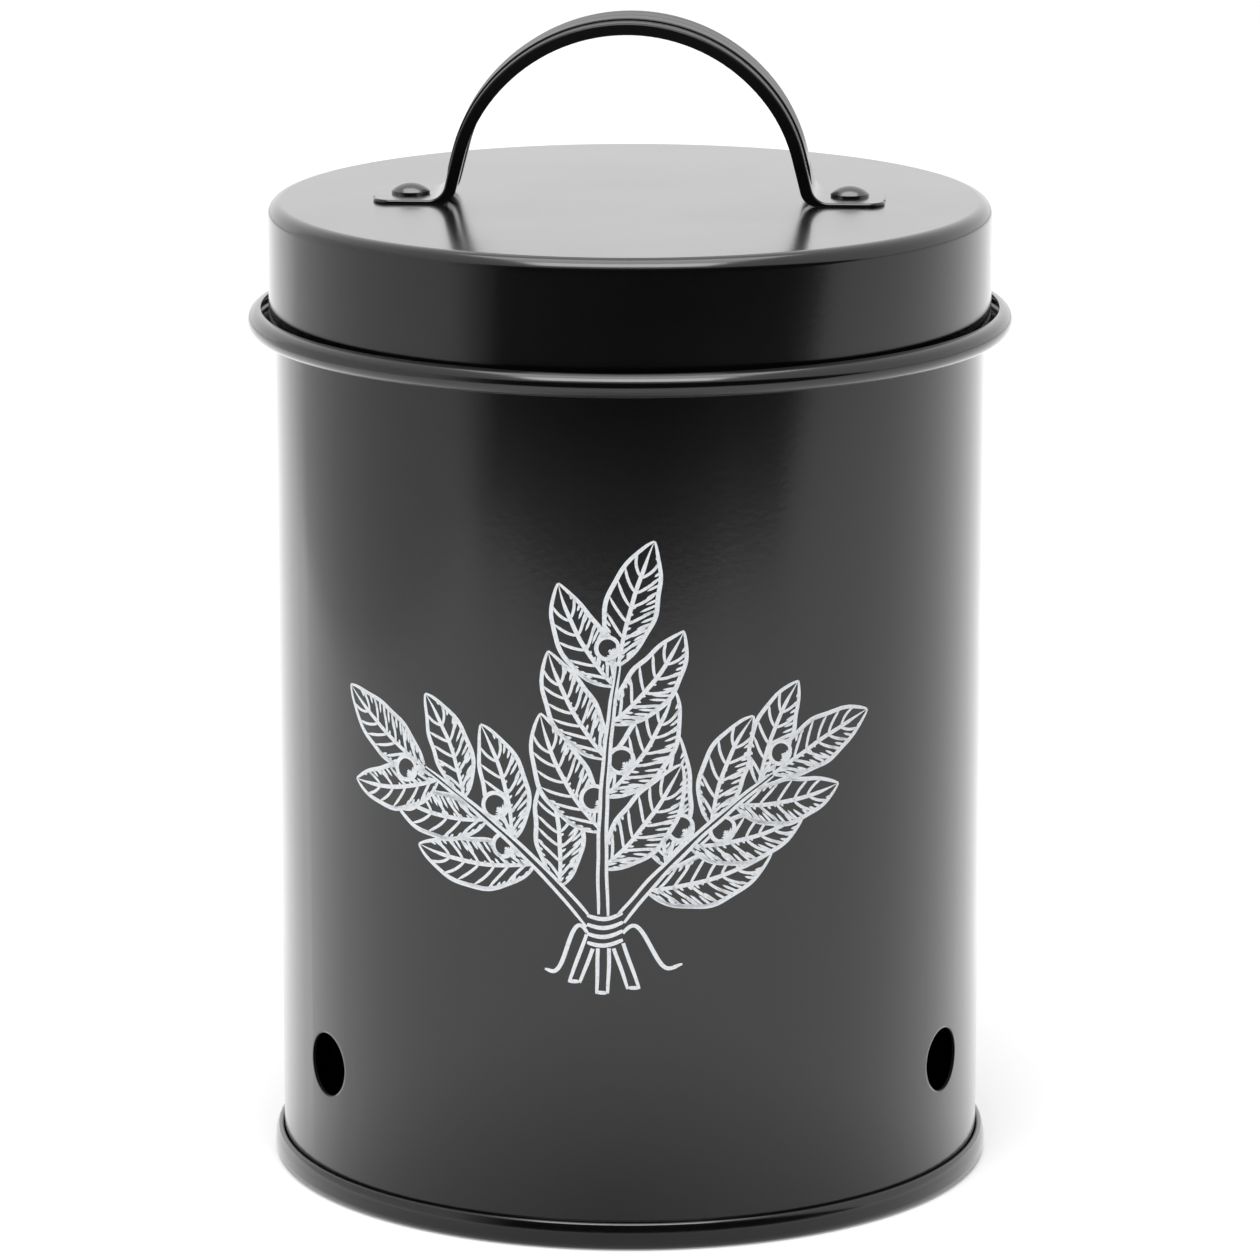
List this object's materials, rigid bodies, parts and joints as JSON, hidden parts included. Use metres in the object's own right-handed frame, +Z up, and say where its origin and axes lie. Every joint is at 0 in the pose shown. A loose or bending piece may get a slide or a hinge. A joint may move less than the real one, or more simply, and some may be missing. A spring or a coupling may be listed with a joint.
{
  "type": "garlic keeper",
  "caption": "Round tinplate garlic keeper with vent holes low in its wall, a slip-over lid with a curled edge, and an arched strap handle riveted to the lid.",
  "frame": {"origin": "centre of the ring the keeper stands on, at floor level", "axes": "+Z up along the keeper's axis; the handle's arch runs along X; the front looks towards -Y"},
  "size_m": [0.119, 0.119, 0.1816],
  "materials": {
    "black_enamel": "satin black enamel over tinplate",
    "black_rivet": "satin black enamel over a steel rivet",
    "white_print": "thin white printed ink"
  },
  "bodies": {
    "canister": {"body_shell": "black_enamel", "bottom_plate": "black_enamel"},
    "lid": {"lid_cap": "black_enamel", "handle_strap": "black_enamel", "rivet_left": "black_rivet", "rivet_right": "black_rivet"}
  },
  "joints": [
    {"name": "lid_lift", "type": "slide", "parent": "canister", "child": "lid", "axis": [0, 0, 1], "range_m": [0, 0.12]}
  ]
}
